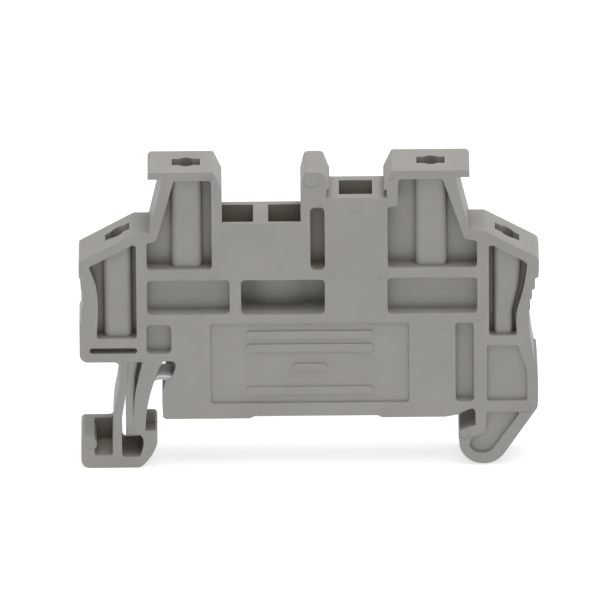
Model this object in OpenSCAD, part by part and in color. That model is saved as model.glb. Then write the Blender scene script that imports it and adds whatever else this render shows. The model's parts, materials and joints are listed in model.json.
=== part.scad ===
// Clip-on end bracket for a 35 mm top-hat mounting rail, moulded in one piece.
// X runs across the rail, Y along it (the bracket's thickness), Z away from it.
// The origin is on the rail's centre line, at the level of the two seat pads.
// Each functional member of the moulding is a solid of its own, and neighbours
// meet face to face. The two legs are flexures that let the latch foot spring out.

/* [Overall] */
// Thickness of the bracket along the rail
thickness = 5.15; // [5:0.05:5.3]
// Distance from the rail centre line to the left outer side
left_reach = 24.4; // [24.3:0.05:24.6]
// Distance from the rail centre line to the right outer side
right_reach = 24.3; // [24.2:0.05:24.5]
// Height of both marker towers above the seat
tower_top = 29.2; // [29:0.1:30]
// Level of the lowest edge of the latch foot
foot_bottom = -5.75; // [-6:0.05:-5.7]

/* [Rail fit] */
// Overall width of the mounting rail
rail_width = 35; // [35:0.1:35.2]
// Thickness of the rail's flange
rail_gauge = 1; // [0.9:0.1:1.1]
// How far the latch hook reaches under the flange
hook_reach = 1.23; // [1.1:0.01:1.3]
// Height of the seat pads below the raised middle of the underside
pad_height = 0.25; // [0.2:0.01:0.3]

/* [Marker towers and steps] */
// Distance from the centre line to the outer edge of a tower's lip
lip_out = 17; // [16.9:0.05:17.1]
// Thickness of the bar across the top of a tower
tower_bar = 1; // [0.9:0.05:1.1]
// Level of the valley between a tower and its step
valley = 22; // [21.8:0.1:22.2]
// Level of the low end of the sloping marker step
slope_low = 18.85; // [18.7:0.05:19]
// Diameter of the round part of a marker slot
slot_bore = 2; // [1.8:0.05:2.1]
// Length of the straight part of a marker slot
slot_length = 2.95; // [2.8:0.05:3]
// Width of the straight part of a marker slot
slot_width = 1.45; // [1.3:0.05:1.5]
// Depth of the round part of a marker slot, below its mouth
slot_depth = 6; // [5:0.5:7]

/* [Bridge sockets] */
// Level of the deck with two sockets
twin_deck = 23.15; // [23:0.05:23.3]
// Level of the deck with one socket
single_deck = 26.05; // [25.9:0.05:26.2]
// Depth of the sockets
socket_depth = 4.8; // [4:0.1:5]
// Wall in front of the twin sockets
twin_front_wall = 0.4; // [0.35:0.05:0.7]
// Wall behind the twin sockets
twin_back_wall = 0.7; // [0.6:0.05:0.8]
// Wall in front of and behind the single socket
single_wall = 0.95; // [0.8:0.05:1]

/* [Pockets] */
// Depth of the front pockets in the towers and steps
tower_pocket = 1.65; // [1.4:0.05:1.8]
// Depth of the front pockets in the rib frame
rib_pocket = 1.35; // [1.2:0.05:1.6]
// Depth of the small front pockets in the lower body
small_pocket = 0.9; // [0.8:0.05:1.2]
// Depth of the shallow front pockets in the shoulder and claw
shallow_pocket = 0.4; // [0.3:0.05:0.5]
// Depth of every back pocket
back_pocket = 2.3; // [2:0.05:2.4]
// Depth of the window pocket in the middle of the rib frame
window_depth = 3.1; // [2.8:0.05:3.3]
// Depth of the upright slot in the centre post
post_slot_depth = 2; // [1.8:0.05:3]
// Corner radius of the pockets
pocket_r = 0.45; // [0.3:0.05:0.5]

/* [Label field] */
// Depth of the label field below the front face
label_sunk = 0.25; // [0.1:0.05:0.3]
// Height of the raised bars on the label field
bar_height = 0.12; // [0.05:0.01:0.12]

/* [Latch] */
// Level where the legs hang from the bracket
leg_top = 6.8; // [6.7:0.05:6.9]
// Level where the legs meet the foot
leg_foot = -1.2; // [-1.25:0.05:-1.15]
// Depth of the screwdriver pocket in the foot
driver_depth = 4.3; // [4:0.05:4.4]
// Thickness of the film between the legs
film = 0.36; // [0.3:0.01:0.45]
// Thickness of the strut that ties the inner leg to the body
strut = 0.32; // [0.28:0.01:0.4]
// How far the strut reaches back from the front
strut_depth = 3.1; // [2.5:0.1:5]

/* [Hidden] */
$fn = 28;
grey = [0.60, 0.59, 0.56];
front = -thickness / 2;
back = thickness / 2;
rail_edge = rail_width / 2;
past = 1;

// Lines along which the members meet
left_wall = -17.75;
right_wall = 18.2;
rib_top = 17.15;
rib_low = 11.85;
step_low = 9.1;
claw_top = 1.2;
left_tower_in = -9.2;
right_tower_in = 7.9;
post_left = -0.87;
post_right = 2.2;
hook_split = -19;

// Towers
lip_low = tower_top - 0.8;
neck_top = 15.5;
neck_foot = 16.95;
chamfer_run = 0.87;
chamfer_drop = 1.95;
tower_ceiling = tower_top - tower_bar;
tower_floor = 17.75;
boss_depth = thickness - 1;
boss_corner = 0.75;
wing_depth = 0.95;
panel_back = 0.6;
undercut = 0.35;
undercut_top = 27;

// Shallow round rise on the floor of the window pocket
rise_x = -3.35;
rise_r = 8;
rise_height = 0.6;

// Latch: edges that two members share, from top to bottom along the inner leg and
// down the round eye under it, and from the film's top end upwards on the outer leg
film_left = -19.62;
eye_floor = -4.5;
anchor_slot = 1;
inner_leg_left = curve([
    [-17.75, leg_top], [-18.2, 4.8], [-18.6, 2.9], [-18.72, 0.6], [-18.72, leg_foot]
]);
eye_right = curve([
    [-18.72, -1.5], [-18.72, -1.86], [-18.1, -1.84], [-17.72, -2.3],
    [-17.72, -3.3], [-18.05, -4.25], [-18.2, eye_floor], [hook_split, eye_floor]
]);
inner_leg_right = curve([
    [-rail_edge, leg_foot], [-17.45, 0.3], [-17.1, 2.6], [-16.4, 4.9], [-16, 6.1], [-15.6, leg_top]
]);
outer_leg_neck = [[film_left, 2.5], [-19.42, 4.6], [-19.35, leg_top]];

// Ends of the strut: two points of the inner leg's edge, and a seat on a ledge of the body
strut_root = [inner_leg_right[14], inner_leg_right[13]];
strut_level = 4.97;
ledge = strut_level - strut;
strut_end = [-14.7, strut_level];
strut_seat = [[-14.72, ledge], [-15.25, ledge]];

// Steps
valley_out = 18.54;
slope_end = 23.95;
slope_angle = atan2(valley - slope_low - 0.1, slope_end - valley_out);
step_floor = 9.6;

// [centre line, width of the boss, level of the mouth] of each marker slot
left_tower_slot = [-12.95, 3.3, tower_top];
right_tower_slot = [12.9, 3.4, tower_top];
left_step_slot = [-20.3, 3.05, valley - tan(slope_angle) * (20.3 - valley_out)];
right_step_slot = [20.95, 3, valley - tan(slope_angle) * (20.95 - valley_out)];

// ---- helpers ----

// A smooth open curve under a control line, by cutting its corners n times
function cut_corners(p) = [
    p[0],
    for (i = [0:len(p) - 2]) each [0.75 * p[i] + 0.25 * p[i + 1], 0.25 * p[i] + 0.75 * p[i + 1]],
    p[len(p) - 1]
];
function curve(p, n = 2) = n == 0 ? p : curve(cut_corners(p), n - 1);

// Points of an arc round (x, z), from angle a0 to a1
function arc(x, z, r, a0, a1, n = 12) = [
    for (i = [0:n]) let (a = a0 + (a1 - a0) * i / n) [x + r * cos(a), z + r * sin(a)]
];

// An outline in X and Z, given thickness from y0 to y1
module plate(y0 = front, y1 = back) {
    translate([0, y1, 0]) rotate([90, 0, 0]) linear_extrude(y1 - y0) children();
}

// Convex corners of an outline, rounded
module rounded(r) {
    offset(r = r) offset(delta = -r) children();
}

// A rectangle from corner to corner with rounded corners
module round_box(x0, z0, x1, z1, r = pocket_r) {
    rounded(r) translate([x0, z0]) square([x1 - x0, z1 - z0]);
}

// The same outline sunk into the front and the back face
module pockets(front_depth, back_depth = back_pocket) {
    plate(front - past, front + front_depth) children();
    plate(back - back_depth, back + past) children();
}

// A hole with square corners, sunk from a deck
module socket(x0, x1, deck, front_wall, back_wall) {
    translate([x0, front + front_wall, deck - socket_depth])
        cube([x1 - x0, thickness - front_wall - back_wall, socket_depth + past]);
}

// Upright column round a marker slot, flat all round with rounded corners
module boss_column(slot) {
    translate([slot[0], 0, step_low]) linear_extrude(tower_top - step_low)
        rounded(boss_corner) square([slot[1], boss_depth], center = true);
}

// Round hole of a marker slot
module slot_hole(slot) {
    translate([slot[0], 0, slot[2] - slot_depth]) cylinder(d = slot_bore, h = slot_depth + past);
}

// Straight part of a marker slot, tilted with the face it is cut in
module slot_wings(slot, tilt = 0) {
    translate([slot[0], 0, slot[2]]) rotate([0, tilt, 0])
        translate([-slot_length / 2, -slot_width / 2, -wing_depth])
            cube([slot_length, slot_width, wing_depth + past]);
}

// The part of a boss column that stands in a pocket
module boss_in(slot) {
    intersection() {
        boss_column(slot);
        plate() children();
    }
}

// ---- outlines ----

// Outline of a tower on the right; inner is its side towards the middle
module tower_outline(inner, wall) {
    run = chamfer_run;
    drop = chamfer_drop;
    polygon(concat(
        [
            [inner, rib_top], [wall, rib_top], [wall, valley], [neck_foot, valley],
            [neck_top, lip_low - 0.1], [neck_top + 0.45, lip_low], [lip_out, lip_low],
            [lip_out, tower_top - 0.3], [lip_out - 0.3, tower_top]
        ],
        curve([
            [inner + run + 0.4, tower_top], [inner + run, tower_top],
            [inner + 0.8 * run, tower_top - 0.2 * drop]
        ]),
        curve([
            [inner + 0.2 * run, tower_top - 0.8 * drop], [inner, tower_top - drop],
            [inner, tower_top - drop - 0.35]
        ])
    ));
}

module left_tower_pocket() {
    rounded(0.3) polygon([
        [-17.2, tower_floor], [-10.3, tower_floor], [-10.3, tower_ceiling], [-14.25, tower_ceiling],
        [-16.05, 21.55], [-16.35, 21.05], [-17.2, 20.85]
    ]);
}

module right_tower_pocket() {
    rounded(0.3) polygon([
        [8.3, tower_floor], [17.75, tower_floor], [17.75, 20.85], [16.45, 21.1],
        [16.1, 22.2], [14.15, tower_ceiling], [9.5, tower_ceiling], [9.35, 25.05], [8.3, 24.9]
    ]);
}

module left_step_pocket() {
    rounded(0.3) polygon(concat(
        [[-18.32, step_floor], [-18.32, 20.85], [-23.35, 18.1]],
        curve([[-23.2, 17.7], [-22.5, 15.6], [-22.35, 13], [-22.6, step_floor]], 3)
    ));
}

module right_step_pocket() {
    rounded(0.3) polygon(concat(
        [[18.98, step_floor]],
        curve([[21.93, step_floor], [21.8, 12.2], [22.55, 14.5], [22.95, 16.9], [23.05, 18.05]], 3),
        [[22.7, 18.4], [19.6, 20.2], [18.98, 20.4]]
    ));
}

// The right step's column gives way to the pocket's curved wall and keeps a groove beside it
module right_step_column() {
    intersection() {
        right_step_pocket();
        polygon([
            [right_wall, step_low], [21.55, step_low], [21.55, 12.2], [22.25, 15.3],
            [22.42, 17.6], [22.42, valley], [right_wall, valley]
        ]);
    }
}

module driver_pocket() {
    rounded(0.3) polygon([[-22.95, -4.3], [-21, -4.3], [-21, 0], [-22.95, 0]]);
}

// ---- upper members ----

module left_marker_tower() {
    color(grey) difference() {
        plate() mirror([1, 0]) tower_outline(-left_tower_in, -left_wall);
        pockets(tower_pocket) left_tower_pocket();
        boss_in(left_tower_slot) left_tower_pocket();
        slot_hole(left_tower_slot);
        slot_wings(left_tower_slot);
    }
}

module right_marker_tower() {
    color(grey) difference() {
        plate() tower_outline(right_tower_in, right_wall);
        pockets(tower_pocket) right_tower_pocket();
        boss_in(right_tower_slot) right_tower_pocket();
        slot_hole(right_tower_slot);
        slot_wings(right_tower_slot);
        translate([right_tower_in - past, front - past, single_deck])
            cube([past + undercut, thickness + 2 * past, undercut_top - single_deck]);
    }
}

module left_marker_step() {
    color(grey) difference() {
        plate() polygon([
            [left_wall, step_low], [left_wall, valley], [-valley_out, valley],
            [-slope_end, slope_low + 0.1],
            [-left_reach + 0.1, slope_low - 0.1], [-left_reach, slope_low - 0.5],
            [-left_reach, 16.9], [-left_reach + 0.15, 16.7], [-left_reach + 0.2, 15.5],
            [-left_reach + 0.38, 15.2], [-left_reach + 0.38, 13.6], [-left_reach + 0.22, 13.2],
            [-left_reach + 0.2, 11.7], [-left_reach, 11.2], [-left_reach, step_low]
        ]);
        pockets(tower_pocket) left_step_pocket();
        boss_in(left_step_slot) left_step_pocket();
        slot_hole(left_step_slot);
        slot_wings(left_step_slot, -slope_angle);
    }
}

module right_marker_step() {
    color(grey) difference() {
        plate() polygon([
            [right_wall, step_low], [23.4, step_low], [23.3, 9.9], [23.22, 11], [23.22, 12.5],
            [23.35, 12.7], [23.35, 13.8], [23.55, 14], [23.55, 14.95], [23.87, 15.15],
            [23.87, 16.25], [24.25, 16.55], [right_reach, 18.2], [right_reach - 0.1, 18.7],
            [slope_end, slope_low + 0.1], [valley_out, valley], [right_wall, valley]
        ]);
        pockets(tower_pocket) right_step_pocket();
        boss_in(right_step_slot) right_step_column();
        slot_hole(right_step_slot);
        slot_wings(right_step_slot, slope_angle);
    }
}

module left_tower_slot_boss() {
    color(grey) difference() {
        boss_in(left_tower_slot) left_tower_pocket();
        slot_hole(left_tower_slot);
    }
}

module right_tower_slot_boss() {
    color(grey) difference() {
        boss_in(right_tower_slot) right_tower_pocket();
        slot_hole(right_tower_slot);
    }
}

module left_step_slot_boss() {
    color(grey) difference() {
        boss_in(left_step_slot) left_step_pocket();
        slot_hole(left_step_slot);
    }
}

module right_step_slot_boss() {
    color(grey) difference() {
        boss_in(right_step_slot) right_step_column();
        slot_hole(right_step_slot);
    }
}

module twin_bridge_socket() {
    color(grey) difference() {
        plate() polygon([
            [left_tower_in, rib_top], [post_left, rib_top],
            [post_left, twin_deck], [left_tower_in, twin_deck]
        ]);
        socket(left_tower_in - past, -5.9, twin_deck, twin_front_wall, twin_back_wall);
        socket(-4.3, post_left + past, twin_deck, twin_front_wall, twin_back_wall);
    }
}

module single_bridge_socket() {
    color(grey) difference() {
        plate() polygon([
            [post_right, rib_top], [right_tower_in, rib_top],
            [right_tower_in, single_deck], [post_right, single_deck]
        ]);
        socket(3.2, 6.7, single_deck, single_wall, single_wall);
    }
}

module centre_post() {
    color(grey) difference() {
        plate() polygon(concat(
            [
                [post_left, rib_top], [post_right, rib_top], [post_right, single_deck],
                [post_right - undercut, single_deck], [post_right - undercut, undercut_top],
                [post_right, undercut_top + 0.15]
            ],
            curve([[1.75, 28.4], [1.5, 29.1], [0.55, 29.1], [-0.4, 29.1], [-0.6, 28.4]]),
            [[post_left, undercut_top + 0.1]]
        ));
        plate(front - past, front + post_slot_depth) round_box(0.13, 17.56, 1.66, 24.95, 0.5);
    }
}

// ---- middle and lower members ----

module rib_frame() {
    color(grey) difference() {
        plate() polygon([
            [left_wall, rib_low], [right_wall, rib_low], [right_wall, rib_top], [left_wall, rib_top]
        ]);
        pockets(rib_pocket) round_box(-17.2, 12.4, -8.45, 16.45);
        pockets(rib_pocket) round_box(8.25, 12.3, 17.75, 16.55);
        difference() {
            plate(front - past, front + window_depth) round_box(-7.25, 12.33, 1.62, 16.42);
            translate([rise_x, front + window_depth + rise_r - rise_height, rib_low])
                cylinder(r = rise_r, h = rib_top - rib_low, $fn = 96);
        }
    }
}

module lower_body() {
    color(grey) difference() {
        plate() polygon(concat(
            [[left_wall, rib_low], [left_wall, leg_top]],
            curve([
                [-15.6, leg_top], [-15.4, 6.87], [-14.9, 6.9], [-14.27, 6.8], [-14.2, 6], strut_end
            ]),
            [strut_seat[0]],
            curve([strut_seat[1], [-15.42, 4], [-15.72, 3.1], [-15.68, 1], [-15.6, pad_height]]),
            curve([[15.6, pad_height], [16.9, 0.95], [17.3, 0.95], [rail_edge, 0.55]]),
            [[rail_edge, claw_top], [right_wall, claw_top], [right_wall, rib_low]]
        ));
        pockets(small_pocket) round_box(-17.3, 7.75, -14.68, 11.2, 0.5);
        pockets(small_pocket) round_box(15.4, 1.8, 17.36, 11.2, 0.4);
        plate(front - past, front + panel_back) label_outline();
    }
}

module label_outline() {
    round_box(-10.55, 1.75, 10.5, 11.3, 0.4);
}

module label_panel() {
    color(grey) plate(front + label_sunk, front + panel_back) label_outline();
}

// Four bars, each given as [level of its middle, half its length]
module label_bars() {
    half = 0.45;
    color(grey) plate(front + label_sunk - bar_height, front + label_sunk)
        for (bar = [[9.8, 6.7], [8.25, 6.7], [5.95, 1.8], [3.2, 6.7]])
            round_box(-bar[1], bar[0] - half, bar[1], bar[0] + half, 0.4);
}

module left_seat_pad() {
    color(grey) plate() polygon([[-15.65, pad_height], [-15.35, 0], [-6.5, 0], [-5.9, pad_height]]);
}

module right_seat_pad() {
    color(grey) plate() polygon([[7.1, pad_height], [7.6, 0], [14.3, 0], [15.6, pad_height]]);
}

module right_shoulder() {
    color(grey) difference() {
        plate() polygon([
            [right_wall, claw_top], [24.05, claw_top], [24.15, 1.7], [24.15, 4.2], [24, 6.5],
            [23.77, 6.6], [23.55, 7.9], [23.4, step_low], [right_wall, step_low]
        ]);
        pockets(shallow_pocket) rounded(0.3) polygon([
            [18.72, 1.8], [23, 1.8], [23, 5.5], [22.2, 7.8], [22.05, 8.45], [18.72, 8.45]
        ]);
    }
}

module fixed_claw() {
    toe = [18.35, -3];
    toe_r = 2.6;
    heel_slope = 57.8;
    color(grey) difference() {
        plate() polygon(concat(
            [[rail_edge, claw_top], [24.1, claw_top], [24.02, 0.92]],
            arc(toe[0], toe[1], toe_r, heel_slope - 90, -170, 20),
            curve([
                [toe[0] - toe_r, toe[1]], [15.65, -1.75],
                [16.2, -1.55], [rail_edge, -rail_gauge - 0.02]
            ])
        ));
        pockets(shallow_pocket) rounded(0.2) polygon(concat(
            [[22.3, 0.55]],
            arc(18.2, -2.95, 1.45, heel_slope - 90, -160, 8),
            curve([[16.95, -2.75], [17.2, -2.3], [18.6, -2], [18.6, -0.9], [18.7, 0.55]])
        ));
    }
}

// ---- latch ----

module latch_anchor() {
    color(grey) difference() {
        plate() polygon(concat(
            [[left_wall, leg_top], [left_wall, step_low], [-left_reach, step_low]],
            arc(-left_reach + 0.9, leg_top + 0.9, 0.9, 180, 270, 8)
        ));
        pockets(anchor_slot, anchor_slot) round_box(-23.35, 7.8, -18.3, 8.48, 0.33);
    }
}

module outer_leg() {
    color(grey) plate() polygon(concat(
        arc(-20.75, leg_top - 0.5, 0.5, 90, 0, 5),
        curve([[-20.25, 5.2], [-20.3, 3.8], [-20.85, 1], [-20.95, leg_foot]]),
        curve([[-20.03, leg_foot], [-20, 0.1], [-19.84, 1.15]]),
        outer_leg_neck
    ));
}

module inner_leg() {
    color(grey) plate() polygon(concat(inner_leg_left, inner_leg_right));
}

module leg_film() {
    color(grey) plate(back - film, back)
        polygon(concat(inner_leg_left, eye_right, [[film_left, eye_floor]], outer_leg_neck));
}

module leg_strut() {
    rise = 0.08;
    upper = curve([
        strut_root[0], [-16, strut_level + rise], [-15.5, strut_level + rise], strut_end
    ]);
    lower = curve([strut_seat[1], [-15.8, ledge + rise], [-16.25, ledge], strut_root[1]]);
    color(grey) plate(front, front + strut_depth) polygon(concat(upper, [strut_seat[0]], lower));
}

module latch_foot() {
    outline = concat(
        curve([[-20.95, leg_foot], [-20.95, -1.9], [-21.7, -1.95]]),
        arc(-23.9, -2.4, 0.45, 90, 180, 5),
        arc(-23.4, foot_bottom + 0.95, 0.95, 180, 270, 8),
        [[hook_split, foot_bottom], [hook_split, eye_floor], [film_left, eye_floor]],
        arc(film_left, eye_floor + 0.4, 0.4, 250, 180, 4),
        [[-20.03, leg_foot]]
    );
    color(grey) difference() {
        union() {
            difference() {
                plate() polygon(outline);
                plate(front - past, front + driver_depth) driver_pocket();
            }
            plate() translate([-23.37, -2.95]) circle(r = 0.68);
        }
    }
}

module latch_hook() {
    nose = -rail_edge + hook_reach;
    nose_top = -rail_gauge - 0.4;
    color(grey) plate() polygon(concat(
        [[hook_split, foot_bottom]],
        curve([
            [nose - 2.6, foot_bottom], [nose - 1.7, foot_bottom], [nose - 0.6, -4.4], [nose, -3],
            [nose, -2.1]
        ], 3),
        arc(nose - 0.45, nose_top - 0.45, 0.45, 0, 90, 5),
        [[-rail_edge, nose_top], [-rail_edge, leg_foot], [-18.72, leg_foot]],
        eye_right
    ));
}

left_marker_tower();
right_marker_tower();
left_marker_step();
right_marker_step();
left_tower_slot_boss();
right_tower_slot_boss();
left_step_slot_boss();
right_step_slot_boss();
twin_bridge_socket();
single_bridge_socket();
centre_post();
rib_frame();
lower_body();
label_panel();
label_bars();
left_seat_pad();
right_seat_pad();
right_shoulder();
fixed_claw();
latch_anchor();
outer_leg();
inner_leg();
leg_film();
leg_strut();
latch_foot();
latch_hook();
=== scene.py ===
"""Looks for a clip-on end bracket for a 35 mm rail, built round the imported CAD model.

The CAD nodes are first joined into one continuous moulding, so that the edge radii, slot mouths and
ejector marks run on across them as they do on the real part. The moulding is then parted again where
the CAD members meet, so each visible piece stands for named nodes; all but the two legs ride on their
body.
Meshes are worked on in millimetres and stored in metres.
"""

import json
import math

import bmesh
import bpy
from mathutils import Matrix, Vector


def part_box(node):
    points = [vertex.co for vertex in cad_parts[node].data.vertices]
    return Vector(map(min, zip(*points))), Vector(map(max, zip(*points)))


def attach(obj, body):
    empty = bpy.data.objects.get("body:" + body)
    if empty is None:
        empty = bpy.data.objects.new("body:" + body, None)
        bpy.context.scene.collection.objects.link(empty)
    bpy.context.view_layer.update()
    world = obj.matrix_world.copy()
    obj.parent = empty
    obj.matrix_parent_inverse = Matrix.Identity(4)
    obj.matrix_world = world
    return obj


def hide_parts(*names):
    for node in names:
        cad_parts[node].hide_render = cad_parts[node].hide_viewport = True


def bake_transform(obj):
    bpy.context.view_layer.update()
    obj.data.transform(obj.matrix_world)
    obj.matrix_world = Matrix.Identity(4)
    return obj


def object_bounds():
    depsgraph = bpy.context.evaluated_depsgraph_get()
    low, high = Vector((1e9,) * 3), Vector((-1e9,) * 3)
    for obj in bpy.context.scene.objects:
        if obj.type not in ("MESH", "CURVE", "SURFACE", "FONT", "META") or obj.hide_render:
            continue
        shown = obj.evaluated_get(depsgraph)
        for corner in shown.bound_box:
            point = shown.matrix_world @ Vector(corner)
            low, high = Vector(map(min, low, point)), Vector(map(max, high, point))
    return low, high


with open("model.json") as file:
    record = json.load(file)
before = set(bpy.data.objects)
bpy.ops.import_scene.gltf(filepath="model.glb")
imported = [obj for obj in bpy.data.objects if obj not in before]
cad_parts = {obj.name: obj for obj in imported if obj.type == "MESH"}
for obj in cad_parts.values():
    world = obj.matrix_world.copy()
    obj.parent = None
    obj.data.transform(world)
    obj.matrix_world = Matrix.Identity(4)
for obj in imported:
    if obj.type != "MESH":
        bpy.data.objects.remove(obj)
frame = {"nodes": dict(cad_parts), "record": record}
cad_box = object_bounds()
scene = bpy.context.scene

MM = 0.001
FAR = 60.0  # mm, past every side of the object

# Moulding
EDGE_RADIUS = 0.15  # mm, on outside edges
EDGE_STEPS = 3
SHARP_ANGLE = math.radians(38)
WELD = 0.001  # mm
OVERLAP = 0.2  # mm, how far a column runs on into the solid above and below its pocket
HAIR = 0.01  # mm, how much wider a hole is cut again than the nodes have it
SEAM = 0.05  # mm, how far an upright parting line keeps from the open face beside it
RAIL_EDGE = 17.5  # mm, half of the rail's width
GAP_FOOT, GAP_TOP = 4.0, 5.0  # mm, heights where the parting line crosses the gap beside the legs
LEG_CUTS, STRUT_CUTS = 20, 8  # stretches that the legs and the strut are cut into, to bend smoothly

# Marker slots: node of the column, mount of the round hole, angle of the face it opens in
SLOT_BOSSES = {
    "left_tower_slot_boss": ("left_tower_marker_hole", 0.0),
    "right_tower_slot_boss": ("right_tower_marker_hole", 0.0),
    "left_step_slot_boss": ("left_step_marker_hole", 29.4),
    "right_step_slot_boss": ("right_step_marker_hole", -29.4),
}
COLUMN_CORNER = 0.77  # mm, radius
CORNER_STEPS = 8
SLOT_LENGTH, SLOT_WIDTH, SLOT_DEPTH = 2.95, 1.45, 0.95  # mm
HOLE_RADIUS, HOLE_DEPTH = 1.0, 6.0  # mm
PAST_MOUTH = 3.0  # mm, how far a cutter runs on past the face that it opens
VALLEY_OUT = 18.54  # mm from the middle, the foot of a tower, where a step starts to fall
HOOK_TOP = -1.4  # mm, height of the hook's upper face
# Where a column's right side leaves the vertical: (mm above its foot, mm inside its right side)
COLUMN_SIDES = {"right_step_slot_boss": [(2.6, 0.87), (5.7, 0.17), (8.0, 0.0)]}
# Nodes that stay out of the moulding, or that it takes in with a column in their place
SEPARATE = ["label_panel", "label_bars", "leg_film", "leg_strut", *SLOT_BOSSES]

# Ejector marks: node, mm from its left side (from its right if negative), mm from its bottom
# (from its top if negative), radius, depth
EJECTOR_MARKS = [
    ("left_marker_tower", -1.3, -0.5, 0.42, 0.04),
    ("right_marker_tower", 0.72, -0.67, 0.42, 0.05),
    ("twin_bridge_socket", 0.45, -1.45, 0.6, 0.03),
    ("twin_bridge_socket", -0.65, -1.45, 0.6, 0.03),
    ("single_bridge_socket", 2.7, -1.05, 0.75, 0.03),
    ("centre_post", 1.12, -0.9, 0.95, 0.06),
    ("rib_frame", 0.25, -5.75, 0.6, 0.04),
    ("rib_frame", 7.55, -0.15, 0.6, 0.04),
    ("rib_frame", 19.8, -0.15, 0.6, 0.04),
    ("rib_frame", -10.5, -0.15, 0.6, 0.04),
    ("rib_frame", -0.3, 0.05, 0.6, 0.04),
    ("right_shoulder", -1.4, -8.15, 0.6, 0.05),
    ("fixed_claw", 0.65, -3.3, 0.6, 0.05),
    ("lower_body", 3.75, 10.7, 0.8, 0.02),
    ("lower_body", -4.2, 10.95, 0.85, 0.02),
    ("lower_body", -4.2, 6.6, 0.85, 0.02),
    ("latch_foot", 0.98, 2.8, 0.6, 0.05),
]


def box_mm(node):
    low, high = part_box(node)
    return low / MM, high / MM


# ---- mesh helpers ----


def mesh_object(name, bm):
    mesh = bpy.data.meshes.new(name)
    bm.to_mesh(mesh)
    bm.free()
    made = bpy.data.objects.new(name, mesh)
    scene.collection.objects.link(made)
    return made


def node_copy(node):
    """The mesh of a CAD node as an object of its own, welded, in millimetres."""
    bm = bmesh.new()
    bm.from_mesh(frame["nodes"][node].data)
    bm.transform(Matrix.Scale(1 / MM, 4))
    bmesh.ops.remove_doubles(bm, verts=bm.verts, dist=WELD)
    return mesh_object("work_" + node, bm)


def raised(name, outline, along, top=None):
    """A closed outline of points, moved by the vector along; top(x) may set its far end's height."""
    bm = bmesh.new()
    face = bm.faces.new([bm.verts.new(p) for p in outline])
    grown = bmesh.ops.extrude_face_region(bm, geom=[face])["geom"]
    for v in grown:
        if isinstance(v, bmesh.types.BMVert):
            v.co += Vector(along)
            if top:
                v.co.z = top(v.co.x)
    bmesh.ops.recalc_face_normals(bm, faces=bm.faces)
    return mesh_object(name, bm)


def plate(name, points, y0, y1):
    """An outline of (x, z) points, given thickness from y0 to y1."""
    return raised(name, [(x, y0, z) for x, z in points], (0, y1 - y0, 0))


def block(x0, z0, x1, z1):
    return [(x0, z0), (x1, z0), (x1, z1), (x0, z1)]


def ring(cx, cz, radius, count=40):
    turn = 2 * math.pi / count
    return [(cx + radius * math.cos(turn * i), cz + radius * math.sin(turn * i)) for i in range(count)]


def combine(target, operation, others):
    """Joins other objects to the target, cuts them from it or keeps only what they share."""
    group = bpy.data.collections.new("operands")
    scene.collection.children.link(group)
    for o in others:
        group.objects.link(o)
    step = target.modifiers.new("combine", "BOOLEAN")
    step.operation, step.solver = operation, "MANIFOLD"
    step.operand_type, step.collection = "COLLECTION", group
    graph = bpy.context.evaluated_depsgraph_get()
    mesh = bpy.data.meshes.new_from_object(target.evaluated_get(graph))
    target.modifiers.clear()
    target.data = mesh
    for o in others:
        bpy.data.objects.remove(o)
    bpy.data.collections.remove(group)
    return target


def edited(target, change, *values):
    """Runs change(bm, ...) on the target's mesh."""
    bm = bmesh.new()
    bm.from_mesh(target.data)
    change(bm, *values)
    bm.to_mesh(target.data)
    bm.free()
    return target


# ---- the moulding ----


def column_plan(low, high, inset):
    """The (x, y) outline of a column with rounded corners, its right side moved in."""
    r = COLUMN_CORNER
    x0, x1, y1 = low.x - HAIR, high.x + HAIR, high.y + HAIR
    squeeze = (x1 - inset - x0) / (x1 - x0)
    corners = [(x1 - r, y1 - r), (x0 + r, y1 - r), (x0 + r, r - y1), (x1 - r, r - y1)]
    points = []
    for i, (x, y) in enumerate(corners):
        for step in range(CORNER_STEPS + 1):
            turn = math.radians(90 * i + 90 * step / CORNER_STEPS)
            across = x + r * math.cos(turn) - x0
            points.append((x0 + across * squeeze, y + r * math.sin(turn)))
    return points


def slot_column(node, angle):
    """The column round a marker slot. It runs on into the solid, so no faces of the two coincide."""
    low, high = box_mm(node)
    sides = COLUMN_SIDES.get(node, [])
    levels = [(-OVERLAP, sides[0][1] if sides else 0.0), *sides]
    inner = low.x if angle < 0 else high.x
    slope = math.tan(math.radians(angle))
    bm = bmesh.new()
    rows = []
    for up, inset in levels:
        rows.append([bm.verts.new((x, y, low.z + up)) for x, y in column_plan(low, high, inset)])
    top = []
    for x, y in column_plan(low, high, 0.0):
        top.append(bm.verts.new((x, y, high.z + OVERLAP + slope * (x - inner))))
    rows.append(top)
    for lower, upper in zip(rows, rows[1:]):
        for i in range(len(lower)):
            bm.faces.new((lower[i - 1], lower[i], upper[i], upper[i - 1]))
    bm.faces.new(rows[0])
    bm.faces.new(top)
    bmesh.ops.recalc_face_normals(bm, faces=bm.faces)
    return mesh_object(node + "_column", bm)


def slot_mouth(node, mount_name, angle):
    """The middle of a marker slot's mouth: x and z."""
    mount = next(m for m in frame["record"]["mounts"] if m["name"] == mount_name)
    x = mount["pos_m"][0] / MM
    if angle:
        valley = box_mm("left_marker_step")[1].z
        return x, valley - math.tan(math.radians(abs(angle))) * (abs(x) - VALLEY_OUT)
    return x, box_mm("left_marker_tower")[1].z


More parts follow.
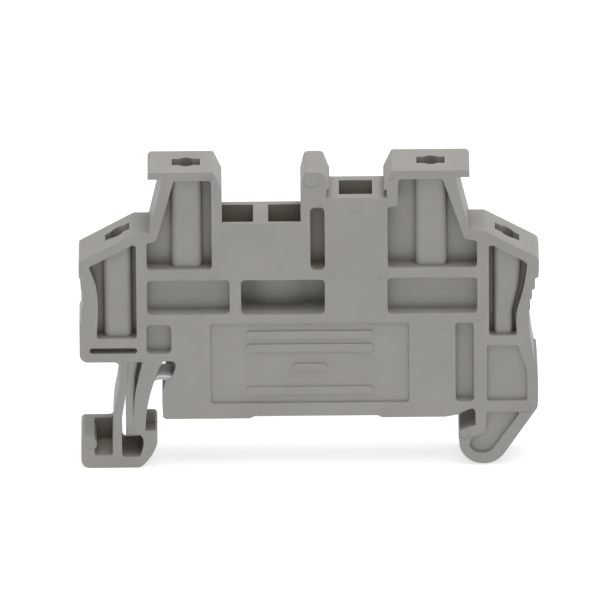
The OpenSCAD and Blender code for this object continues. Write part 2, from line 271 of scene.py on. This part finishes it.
def slot_cutters(node, mount_name, angle):
    """The round hole and the straight part of a marker slot, a hair wider than in the nodes."""
    x, z = slot_mouth(node, mount_name, angle)
    outline = [(x + a, b, z - HOLE_DEPTH) for a, b in ring(0, 0, HOLE_RADIUS + HAIR, 48)]
    hole = raised(node + "_hole", outline, (0, 0, HOLE_DEPTH + PAST_MOUTH))
    sine, cosine = math.sin(math.radians(angle)), math.cos(math.radians(angle))
    half = SLOT_LENGTH / 2 + HAIR
    points = []
    for across, up in block(-half, -SLOT_DEPTH, half, PAST_MOUTH):
        points.append((x + across * cosine - up * sine, z + across * sine + up * cosine))
    wide = SLOT_WIDTH / 2 + HAIR
    return [hole, plate(node + "_slot", points, -wide, wide)]


def hook_notch():
    """The shallow step in the front half of the hook's upper face."""
    low, high = box_mm("latch_hook")
    left, right, depth = high.x - 1.15, high.x - 0.25, 0.12
    front, back = low.y + 0.35, -0.25
    return plate("hook_notch", block(left, HOOK_TOP - depth, right, high.z), front, back)


def clean(bm):
    bmesh.ops.remove_doubles(bm, verts=bm.verts, dist=WELD)
    bmesh.ops.dissolve_limit(
        bm, angle_limit=math.radians(0.5), verts=bm.verts, edges=bm.edges, delimit=set()
    )


def round_edges(bm):
    """Gives every outside edge its small radius."""
    outside = [
        e
        for e in bm.edges
        if len(e.link_faces) == 2 and e.is_convex and e.calc_face_angle(0) > SHARP_ANGLE
    ]
    bmesh.ops.bevel(
        bm,
        geom=outside,
        offset=EDGE_RADIUS,
        segments=EDGE_STEPS,
        profile=0.5,
        affect="EDGES",
        clamp_overlap=True,
        loop_slide=True,
    )


def ejector_mark(node, x, z, radius, depth):
    low, high = box_mm(node)
    cx = (low.x if x >= 0 else high.x) + x
    cz = (low.z if z >= 0 else high.z) + z
    front = low.y
    return plate("mark", ring(cx, cz, radius), front - 1, front + depth)


def moulding():
    nodes = [n for n in frame["nodes"] if n not in SEPARATE]
    body = node_copy(nodes[0])
    combine(body, "UNION", [node_copy(n) for n in nodes[1:]])
    combine(body, "UNION", [slot_column(n, angle) for n, (_, angle) in SLOT_BOSSES.items()])
    cutters = [hook_notch()]
    for node, (mount_name, angle) in SLOT_BOSSES.items():
        cutters.extend(slot_cutters(node, mount_name, angle))
    combine(body, "DIFFERENCE", cutters)
    edited(body, clean)
    edited(body, round_edges)
    combine(body, "DIFFERENCE", [ejector_mark(*mark) for mark in EJECTOR_MARKS])
    return body


# ---- parting the moulding ----

wall_left = box_mm("rib_frame")[0].x
wall_right = box_mm("rib_frame")[1].x
rib_low, rib_top = box_mm("rib_frame")[0].z, box_mm("rib_frame")[1].z
step_low = box_mm("left_marker_step")[0].z
leg_top, leg_foot = box_mm("outer_leg")[1].z, box_mm("outer_leg")[0].z
claw_top = box_mm("fixed_claw")[1].z
pad_top = box_mm("left_seat_pad")[1].z
post_left, post_right = box_mm("centre_post")[0].x - SEAM, box_mm("centre_post")[1].x + SEAM
left_tower_in = box_mm("left_marker_tower")[1].x + SEAM
right_tower_in = box_mm("right_marker_tower")[0].x - SEAM
hook_split = box_mm("latch_foot")[1].x
latch_gap = box_mm("left_seat_pad")[0].x - 0.25
under_pads = -0.5
leg_right = box_mm("inner_leg")[1].x + SEAM
leg_gap = hook_split - 0.1

# Piece, named after its main node: the other nodes that it stands for, and the outline it lies in
MEMBERS = {
    "left_marker_tower": (["left_tower_slot_boss"], block(wall_left, rib_top, left_tower_in, FAR)),
    "right_marker_tower": (["right_tower_slot_boss"], block(right_tower_in, rib_top, wall_right, FAR)),
    "left_marker_step": (["left_step_slot_boss"], block(-FAR, step_low, wall_left, FAR)),
    "right_marker_step": (["right_step_slot_boss"], block(wall_right, step_low, FAR, FAR)),
    "twin_bridge_socket": ([], block(left_tower_in, rib_top, post_left, FAR)),
    "single_bridge_socket": ([], block(post_right, rib_top, right_tower_in, FAR)),
    "centre_post": ([], block(post_left, rib_top, post_right, FAR)),
    "rib_frame": ([], block(wall_left, rib_low, wall_right, rib_top)),
    "lower_body": (
        [],
        [
            (wall_left, rib_low),
            (wall_left, leg_top),
            (leg_right, leg_top),
            (leg_right, GAP_TOP),
            (latch_gap, GAP_FOOT),
            (latch_gap, pad_top),
            (RAIL_EDGE, pad_top),
            (RAIL_EDGE, claw_top),
            (wall_right, claw_top),
            (wall_right, rib_low),
        ],
    ),
    "left_seat_pad": ([], block(latch_gap, under_pads, 0, pad_top)),
    "right_seat_pad": ([], block(0, under_pads, RAIL_EDGE, pad_top)),
    "right_shoulder": ([], block(wall_right, claw_top, FAR, step_low)),
    "fixed_claw": (
        [],
        [
            (RAIL_EDGE, claw_top),
            (RAIL_EDGE, under_pads),
            (0, under_pads),
            (0, -FAR),
            (FAR, -FAR),
            (FAR, claw_top),
        ],
    ),
    "latch_anchor": ([], block(-FAR, leg_top, wall_left, step_low)),
    "outer_leg": ([], block(-FAR, leg_foot, leg_gap, leg_top)),
    "inner_leg": (
        [],
        [
            (leg_gap, leg_foot),
            (latch_gap, leg_foot),
            (latch_gap, GAP_FOOT),
            (leg_right, GAP_TOP),
            (leg_right, leg_top),
            (leg_gap, leg_top),
        ],
    ),
    "latch_foot": ([], block(-FAR, -FAR, hook_split, leg_foot)),
    "latch_hook": ([], block(hook_split, -FAR, latch_gap, leg_foot)),
}


def member(body, node, outline):
    """The stretch of the moulding that lies in an outline, closed where it was cut."""
    piece = bpy.data.objects.new("moulded_" + node, body.data.copy())
    scene.collection.objects.link(piece)
    return combine(piece, "INTERSECT", [plate("region", outline, -FAR, FAR)])


def cut_across(bm, axis, start, end, count):
    """Adds edge loops across an axis, evenly from start to end."""
    for i in range(1, count):
        place = start + (end - start) * i / count
        everything = [*bm.verts, *bm.edges, *bm.faces]
        bmesh.ops.bisect_plane(bm, geom=everything, plane_co=axis * place, plane_no=axis, dist=1e-5)


def mark_sharp(bm):
    for face in bm.faces:
        face.smooth = True
    for edge in bm.edges:
        edge.smooth = edge.calc_face_angle(0) < SHARP_ANGLE


def finished(piece, material):
    """Metres, smooth shading that keeps flat faces flat, and the material."""
    old_normals = piece.data.attributes.get("custom_normal")
    if old_normals:
        piece.data.attributes.remove(old_normals)
    edited(piece, mark_sharp)
    piece.data.transform(Matrix.Scale(MM, 4))
    weighted = piece.modifiers.new("weighted", "WEIGHTED_NORMAL")
    weighted.mode, weighted.weight, weighted.keep_sharp = "FACE_AREA", 100, True
    graph = bpy.context.evaluated_depsgraph_get()
    mesh = bpy.data.meshes.new_from_object(piece.evaluated_get(graph))
    piece.modifiers.clear()
    piece.data = mesh
    mesh.materials.clear()
    mesh.materials.append(material)
    return piece


# ---- materials ----

DARK_GREY, LIGHT_GREY = (0.277, 0.267, 0.249), (0.314, 0.302, 0.282)
RIM_HIGHLIGHT_GAIN = 0.35  # how much lighter the painted highlight makes the rounded rims


def node_tree(name):
    material = bpy.data.materials.new(name)
    material.use_nodes = True
    return material, material.node_tree.nodes, material.node_tree.links


def noise(nodes, links, coordinates, scale, detail, name):
    """A noise texture whose scale is in waves per metre."""
    made = nodes.new("ShaderNodeTexNoise")
    made.name = name
    made.inputs["Scale"].default_value = scale
    made.inputs["Detail"].default_value = detail
    links.new(coordinates, made.inputs["Vector"])
    return made.outputs["Fac"]


def spread(nodes, links, value, low, high):
    """Maps the middle of a noise to the range low to high."""
    made = nodes.new("ShaderNodeMapRange")
    made.inputs["From Min"].default_value = 0.3
    made.inputs["From Max"].default_value = 0.7
    made.inputs["To Min"].default_value = low
    made.inputs["To Max"].default_value = high
    links.new(value, made.inputs["Value"])
    return made.outputs["Result"]


def openness(nodes):
    """How open the surroundings of a point are, from 0 to 1."""
    opening = nodes.new("ShaderNodeAmbientOcclusion")
    opening.samples = 8
    opening.inputs["Distance"].default_value = 5 * MM
    return opening.outputs["AO"]


def closed(nodes, links, opening, shut, free):
    """1 where the surroundings are shut, 0 where they are free."""
    made = nodes.new("ShaderNodeMapRange")
    made.interpolation_type = "SMOOTHSTEP"
    made.inputs["From Min"].default_value = shut
    made.inputs["From Max"].default_value = free
    made.inputs["To Min"].default_value = 1.0
    made.inputs["To Max"].default_value = 0.0
    links.new(opening, made.inputs["Value"])
    return made.outputs["Result"]


def painted_recess_shade(nodes, links, opening, colour, shade_tint):
    """Painted shade: the colour, multiplied by a tint where little light gets in."""
    darker = nodes.new("ShaderNodeMix")
    darker.data_type, darker.blend_type = "RGBA", "MULTIPLY"
    darker.inputs["B"].default_value = (*shade_tint, 1)
    links.new(closed(nodes, links, opening, 0.05, 0.48), darker.inputs["Factor"])
    links.new(colour, darker.inputs["A"])
    return darker.outputs["Result"]


def math_node(nodes, links, operation, *values):
    """A math node whose inputs are sockets or plain numbers."""
    made = nodes.new("ShaderNodeMath")
    made.operation = operation
    for socket, value in zip(made.inputs, values):
        if isinstance(value, bpy.types.NodeSocket):
            links.new(value, socket)
        else:
            socket.default_value = value
    return made.outputs[0]


def scaled(nodes, links, colour, factor):
    made = nodes.new("ShaderNodeVectorMath")
    made.operation = "SCALE"
    links.new(colour, made.inputs["Vector"])
    links.new(factor, made.inputs["Scale"])
    return made.outputs["Vector"]


def towards_back(nodes, links):
    """1 where the surface faces the back, 0 where it faces sideways, -1 where it faces the front."""
    normal = nodes.new("ShaderNodeSeparateXYZ")
    links.new(nodes.new("ShaderNodeTexCoord").outputs["Normal"], normal.inputs["Vector"])
    return normal.outputs["Y"]


def painted_thin_light(nodes, links, turn, colour, front, back):
    """Painted light and shade on thin plastic: the colour, scaled on its front and on its back, for
    how the light falls on it.
    """
    to_back = math_node(nodes, links, "MAXIMUM", turn, 0.0)
    to_front = math_node(nodes, links, "MINIMUM", turn, 0.0)
    factor = math_node(nodes, links, "MULTIPLY_ADD", to_back, back - 1, 1.0)
    factor = math_node(nodes, links, "MULTIPLY_ADD", to_front, 1 - front, factor)
    return scaled(nodes, links, colour, factor)


def painted_rim_highlight(nodes, links, place, facing, colour, rim_highlight):
    """Painted highlight: the colour, lighter on the rounded rims of the front and the back, where they
    would catch light.
    """
    position = nodes.new("ShaderNodeSeparateXYZ")
    links.new(place, position.inputs["Vector"])
    front, back = cad_box[0].y, cad_box[1].y
    half = (back - front) / 2
    off_middle = math_node(nodes, links, "SUBTRACT", position.outputs["Y"], (front + back) / 2)
    outer = math_node(nodes, links, "ABSOLUTE", off_middle)
    outer = math_node(nodes, links, "GREATER_THAN", outer, half - 0.25 * MM)
    turned = math_node(nodes, links, "MULTIPLY_ADD", facing, -4 * rim_highlight, 4 * rim_highlight)
    turned = math_node(nodes, links, "MULTIPLY", turned, facing)
    lighter = math_node(nodes, links, "MULTIPLY_ADD", turned, outer, 1.0)
    return scaled(nodes, links, colour, lighter)


def painted_wall_shade(nodes, links, opening, facing, colour, wall_shade):
    """Painted shade: the colour, darker on the walls inside pockets."""
    sideways = math_node(nodes, links, "SUBTRACT", 1.0, facing)
    inside = closed(nodes, links, opening, 0.4, 0.75)
    inside = math_node(nodes, links, "MULTIPLY", sideways, inside)
    darker = math_node(nodes, links, "MULTIPLY_ADD", inside, wall_shade - 1, 1.0)
    return scaled(nodes, links, colour, darker)


def polyamide(name, dark, light, roughness, recess_shade_tint=None, wall_shade=1.0, thin=None):
    """Matt moulded polyamide: faint cloudy tone, an eroded mould texture and duller patches. With a
    recess tint it paints shade into recesses and onto pocket walls. Thin plastic gets painted light
    and shade on its front and back, and the rest gets a painted highlight on the rims.
    """
    material, nodes, links = node_tree(name)
    shader = nodes["Principled BSDF"]
    place = nodes.new("ShaderNodeTexCoord").outputs["Object"]
    clouds = noise(nodes, links, place, 220, 3, "clouds")
    specks = noise(nodes, links, place, 2600, 2, "specks")
    grain = noise(nodes, links, place, 9000, 4, "grain")

    tone = nodes.new("ShaderNodeMix")
    tone.data_type = "RGBA"
    tone.inputs["A"].default_value = (*dark, 1)
    tone.inputs["B"].default_value = (*light, 1)
    cloudy = spread(nodes, links, clouds, 0.0, 0.65)
    speckled = math_node(nodes, links, "MULTIPLY_ADD", specks, 0.35, cloudy)
    links.new(speckled, tone.inputs["Factor"])
    colour = tone.outputs["Result"]
    turn = towards_back(nodes, links)
    facing = math_node(nodes, links, "MULTIPLY", turn, turn)
    # painted shade in recesses and on pocket walls
    if recess_shade_tint:
        opening = openness(nodes)
        colour = painted_recess_shade(nodes, links, opening, colour, recess_shade_tint)
        colour = painted_wall_shade(nodes, links, opening, facing, colour, wall_shade)
    # painted light and shade on thin plastic, or else a painted highlight on the rims
    if thin:
        colour = painted_thin_light(nodes, links, turn, colour, *thin)
    else:
        # painted highlight on the rims
        colour = painted_rim_highlight(nodes, links, place, facing, colour, RIM_HIGHLIGHT_GAIN)
    links.new(colour, shader.inputs["Base Color"])

    patchy = spread(nodes, links, specks, roughness - 0.05, roughness + 0.05)
    links.new(patchy, shader.inputs["Roughness"])
    bump = nodes.new("ShaderNodeBump")
    bump.inputs["Strength"].default_value = 0.35
    bump.inputs["Distance"].default_value = 0.012 * MM
    links.new(grain, bump.inputs["Height"])
    links.new(bump.outputs["Normal"], shader.inputs["Normal"])

    shader.inputs["IOR"].default_value = 1.5
    shader.inputs["Subsurface Weight"].default_value = 1.0 if thin else 0.0
    shader.inputs["Subsurface Radius"].default_value = (1.0, 0.96, 0.9)
    shader.inputs["Subsurface Scale"].default_value = 1.0 * MM
    return material


# Lit and shaded copies of one polyamide: each has the painted rim highlight, and all but the open one
# add painted shade in recesses and on walls
open_polyamide = polyamide("open_polyamide", DARK_GREY, LIGHT_GREY, 0.55)
grey_polyamide = polyamide(
    "grey_polyamide", DARK_GREY, LIGHT_GREY, 0.55, recess_shade_tint=(0.70, 0.66, 0.60), wall_shade=0.78
)
deep_painted_shade_polyamide = polyamide("deep_painted_shade_polyamide", DARK_GREY, LIGHT_GREY, 0.55, recess_shade_tint=(0.58, 0.48, 0.38))
# Painted light: near-white colours, with painted light and shade on front and back, stand in for light
# shining through the thin film and strut
film_painted_light = polyamide(
    "film_painted_light", (0.95, 0.925, 0.88), (0.97, 0.945, 0.9), 0.5, thin=(1.0, 0.45)
)
strut_painted_light = polyamide(
    "strut_painted_light", (0.92, 0.9, 0.85), (0.95, 0.93, 0.88), 0.5, thin=(0.42, 0.6)
)

# Members whose recesses get no painted shade (open) or the darkest painted shade (deep). The rest get
# a lighter painted shade.
MATERIALS = {
    "lower_body": open_polyamide,
    "inner_leg": open_polyamide,
    "outer_leg": open_polyamide,
    "rib_frame": open_polyamide,
    "latch_anchor": open_polyamide,
    "right_shoulder": open_polyamide,
    "centre_post": deep_painted_shade_polyamide,
    "twin_bridge_socket": deep_painted_shade_polyamide,
    "single_bridge_socket": deep_painted_shade_polyamide,
    "latch_foot": deep_painted_shade_polyamide,
    "latch_hook": deep_painted_shade_polyamide,
}


# ---- pieces ----


def stands_for(nodes):
    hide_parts(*nodes)


def ride_on_body(piece, nodes):
    """Lets a piece ride on the body of the nodes that it stands for."""
    body = "latch" if nodes[0] in frame["record"]["behaviour"]["bodies"]["latch"] else "bracket"
    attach(piece, body)
    stands_for(nodes)


def bend(piece, nodes):
    """A piece between the bracket and the latch, down the length of the legs, left where it stands on
    no body.
    """
    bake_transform(piece)
    stands_for(nodes)


def make_moulding():
    body = moulding()
    for node, (others, outline) in MEMBERS.items():
        piece = member(body, node, outline)
        nodes = [node, *others]
        material = MATERIALS.get(node, grey_polyamide)
        if node in ("outer_leg", "inner_leg"):
            edited(piece, cut_across, Vector((0, 0, 1)), leg_foot, leg_top, LEG_CUTS)
            bend(finished(piece, material), nodes)
        else:
            ride_on_body(finished(piece, material), nodes)
    bpy.data.objects.remove(body)


def make_film():
    piece = node_copy("leg_film")
    piece.name = "moulded_leg_film"
    edited(piece, clean)
    edited(piece, cut_across, Vector((0, 0, 1)), leg_foot, leg_top, LEG_CUTS)
    bend(finished(piece, film_painted_light), ["leg_film"])


def make_strut():
    """The strut, cut into stretches along its own length and left where it stands, on no body."""
    low, high = box_mm("leg_strut")
    piece = node_copy("leg_strut")
    piece.name = "moulded_leg_strut"
    edited(piece, clean)
    edited(piece, cut_across, Vector((1, 0, 0)), low.x, high.x, STRUT_CUTS)
    finished(piece, strut_painted_light)
    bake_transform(piece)
    stands_for(["leg_strut"])


make_moulding()
make_film()
make_strut()
for kept in ("label_panel", "label_bars"):
    frame["nodes"][kept].data.materials.clear()
    frame["nodes"][kept].data.materials.append(open_polyamide)


# ---- stage, light and camera ----

low, high = cad_box
centre = (low + high) / 2


def make_floor():
    bm = bmesh.new()
    bmesh.ops.create_grid(bm, x_segments=1, y_segments=1, size=3)
    floor = mesh_object("floor", bm)
    floor.location = (0, 0, low.z - 0.02 * MM)
    material, nodes, links = node_tree("pale_floor")
    shader = nodes["Principled BSDF"]
    shader.inputs["Base Color"].default_value = (0.45, 0.45, 0.45, 1)
    shader.inputs["Roughness"].default_value = 0.9
    shader.inputs["Emission Color"].default_value = (1, 1, 1, 1)
    shader.inputs["Emission Strength"].default_value = 0.66
    floor.data.materials.append(material)


def make_panel(name, direction, distance, width, height, power):
    """A soft area light that stands at a distance from the object and faces it."""
    light = bpy.data.lights.new(name, "AREA")
    light.shape, light.size, light.size_y, light.energy = "RECTANGLE", width, height, power
    panel = bpy.data.objects.new(name, light)
    scene.collection.objects.link(panel)
    away = Vector(direction).normalized()
    panel.location = centre + away * distance
    panel.rotation_euler = away.to_track_quat("Z", "Y").to_euler()
    panel.visible_camera = False


def make_lights():
    world = bpy.data.worlds.new("studio")
    world.use_nodes = True
    world.node_tree.nodes["Background"].inputs["Color"].default_value = (1, 1, 1, 1)
    world.node_tree.nodes["Background"].inputs["Strength"].default_value = 0.25
    scene.world = world
    make_panel("top_panel", (0.1, -0.1, 1), 0.5, 0.5, 0.5, 2.85)
    make_panel("front_panel", (0, -1, 0.7), 0.5, 0.25, 0.25, 0.1)
    make_panel("left_panel", (-1, 0.15, 0.35), 0.5, 0.4, 0.4, 0.7)
    make_panel("right_panel", (1, 0.15, 0.35), 0.5, 0.4, 0.4, 0.7)
    make_panel("low_panel", (0, -1, -0.3), 0.046, 0.07, 0.008, 0.0008)


def make_camera():
    """A long lens in front, looking 27 degrees down, with half a degree of roll."""
    elevation, roll, lens = math.radians(26.9), math.radians(0.5), 1500.0
    view_width = 63.56 * MM
    camera = bpy.data.cameras.new("camera")
    camera.lens, camera.sensor_width = lens, 36.0
    distance = view_width * lens / camera.sensor_width
    camera.clip_start, camera.clip_end = 0.1, 10
    made = bpy.data.objects.new("camera", camera)
    scene.collection.objects.link(made)
    right = Vector((1, 0, 0))
    up = Vector((0, math.sin(elevation), math.cos(elevation)))
    back = right.cross(up)
    aim_left, aim_up = 0.96 * MM, 0.89 * MM
    aim = centre - right * aim_left + up * aim_up
    made.location = aim + back * distance
    turned_right = right * math.cos(roll) - up * math.sin(roll)
    turned_up = up * math.cos(roll) + right * math.sin(roll)
    axes = Matrix((turned_right, turned_up, back)).transposed()
    made.rotation_euler = axes.to_euler()
    scene.camera = made


make_floor()
make_lights()
make_camera()
scene.view_settings.view_transform = "Standard"
